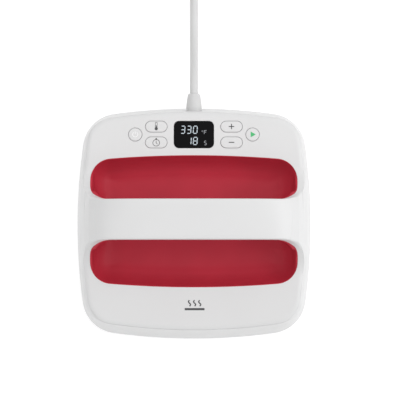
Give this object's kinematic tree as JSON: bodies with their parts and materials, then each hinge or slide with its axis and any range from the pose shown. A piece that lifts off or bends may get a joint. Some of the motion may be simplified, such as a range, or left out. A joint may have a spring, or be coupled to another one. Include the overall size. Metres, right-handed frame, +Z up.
{
  "type": "heat press",
  "caption": "Hand-held square heat press: white shell, bridge handle over a raspberry hand recess, display with buttons on the rear deck, dark heated plate, grounded cord.",
  "frame": {"origin": "centre of the heated plate's underside, where the press rests on the work", "axes": "+Z up from the heated plate, +Y towards the edge that the cord leaves, +X to the right of a person facing the display"},
  "size_m": [0.303, 0.5176, 0.118],
  "materials": {
    "white_shell": "semi-gloss moulded",
    "raspberry_shell": "satin moulded",
    "grey_trim": "fine matte",
    "coated_plate": "non-stick ceramic coating on cast aluminium",
    "button_white": "semi-gloss moulded",
    "black_gloss": "polished",
    "cord_grey": "matte PVC",
    "brass": "plain",
    "steel": "plain",
    "circuit_board": "solder mask",
    "insulation": "ceramic-fibre felt",
    "black_plastic": "moulded"
  },
  "bodies": {
    "press_body": {"base_ring": "grey_trim", "base_screw_1": "steel", "base_screw_2": "steel", "base_screw_3": "steel", "base_screw_4": "steel", "coil_tie": "black_plastic", "control_board": "circuit_board", "cord_coil": "cord_grey", "display_window": "black_gloss", "handle_cover": "white_shell", "handle_grip": "raspberry_shell", "heat_plate": "coated_plate", "heat_shield": "steel", "heating_element": "steel", "housing_shell": "white_shell", "insulation_pad": "insulation", "lcd_module": "steel", "plate_screw_1": "steel", "plate_screw_2": "steel", "plate_screw_3": "steel", "plate_screw_4": "steel", "plug_blade_left": "brass", "plug_blade_right": "brass", "plug_body": "cord_grey", "plug_ground_pin": "brass", "power_board": "circuit_board", "power_cord": "cord_grey", "recess_liner": "raspberry_shell", "relay": "black_plastic", "standoff_1": "brass", "standoff_2": "brass", "standoff_3": "brass", "standoff_4": "brass", "strain_relief": "cord_grey", "switch_go": "steel", "switch_minus": "steel", "switch_plus": "steel", "switch_power": "steel", "switch_temperature": "steel", "switch_timer": "steel", "terminal_block": "grey_trim", "thermal_fuse": "steel", "thermistor": "black_plastic", "top_cover": "white_shell", "triac_heatsink": "steel"},
    "button_power": {"button_power": "button_white", "plunger_power": "black_plastic"},
    "button_temperature": {"button_temperature": "button_white", "plunger_temperature": "black_plastic"},
    "button_timer": {"button_timer": "button_white", "plunger_timer": "black_plastic"},
    "button_plus": {"button_plus": "button_white", "plunger_plus": "black_plastic"},
    "button_minus": {"button_minus": "button_white", "plunger_minus": "black_plastic"},
    "button_go": {"button_go": "button_white", "plunger_go": "black_plastic"}
  },
  "joints": [
    {"name": "press_power", "type": "slide", "parent": "press_body", "child": "button_power", "axis": [0, -0.1289, -0.9917], "range_m": [0, 0.0009], "stiffness_N_per_m": 1500},
    {"name": "press_temperature", "type": "slide", "parent": "press_body", "child": "button_temperature", "axis": [0, -0.1289, -0.9917], "range_m": [0, 0.0009], "stiffness_N_per_m": 1500},
    {"name": "press_timer", "type": "slide", "parent": "press_body", "child": "button_timer", "axis": [0, -0.1289, -0.9917], "range_m": [0, 0.0009], "stiffness_N_per_m": 1500},
    {"name": "press_plus", "type": "slide", "parent": "press_body", "child": "button_plus", "axis": [0, -0.1289, -0.9917], "range_m": [0, 0.0009], "stiffness_N_per_m": 1500},
    {"name": "press_minus", "type": "slide", "parent": "press_body", "child": "button_minus", "axis": [0, -0.1289, -0.9917], "range_m": [0, 0.0009], "stiffness_N_per_m": 1500},
    {"name": "press_go", "type": "slide", "parent": "press_body", "child": "button_go", "axis": [0, -0.1289, -0.9917], "range_m": [0, 0.0009], "stiffness_N_per_m": 1500}
  ]
}
